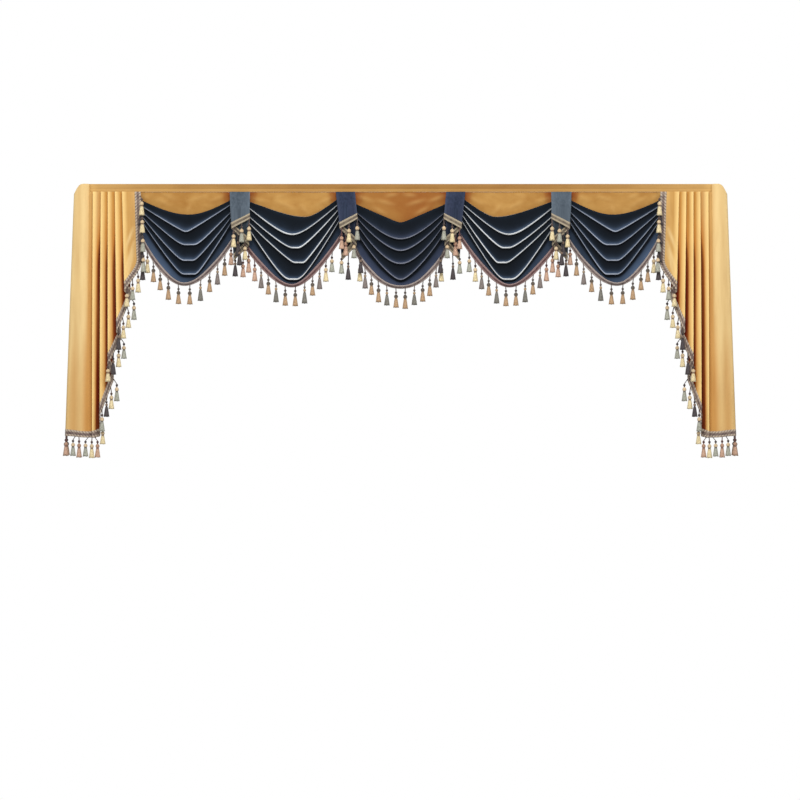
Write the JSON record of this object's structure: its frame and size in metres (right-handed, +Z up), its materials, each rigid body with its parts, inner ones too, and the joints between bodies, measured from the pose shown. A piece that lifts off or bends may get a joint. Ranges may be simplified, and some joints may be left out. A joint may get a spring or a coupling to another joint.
{
  "type": "swag valance",
  "caption": "Velvet window valance with a gold heading, draped dark blue swags, folded tabs, pleated stepped tails and tasselled braid.",
  "frame": {"origin": "middle of the heading's top edge, at the middle of its thickness", "axes": "+X along the heading to the viewer's right, +Y towards the wall, +Z up; the front faces -Y"},
  "size_m": [3.0484, 0.1849, 1.2297],
  "materials": {
    "gold_velvet": "short pile velvet, soft sheen",
    "blue_velvet": "short pile velvet, bright sheen along fold crests",
    "slate_velvet": "short pile velvet",
    "braid": "woven gimp braid with twisted cord tassels"
  },
  "bodies": {
    "root": {"heading": "gold_velvet", "backing_panel": "gold_velvet", "swag_1": "blue_velvet", "swag_2": "blue_velvet", "swag_3": "blue_velvet", "swag_4": "blue_velvet", "swag_5": "blue_velvet", "swag_1_braid": "braid", "swag_2_braid": "braid", "swag_3_braid": "braid", "swag_4_braid": "braid", "swag_5_braid": "braid", "tab_1": "slate_velvet", "tab_2": "blue_velvet", "tab_3": "blue_velvet", "tab_4": "slate_velvet", "tab_1_braid": "braid", "tab_2_braid": "braid", "tab_3_braid": "braid", "tab_4_braid": "braid", "tail_left": "gold_velvet", "tail_right": "gold_velvet", "tail_left_braid": "braid", "tail_right_braid": "braid"}
  },
  "joints": []
}
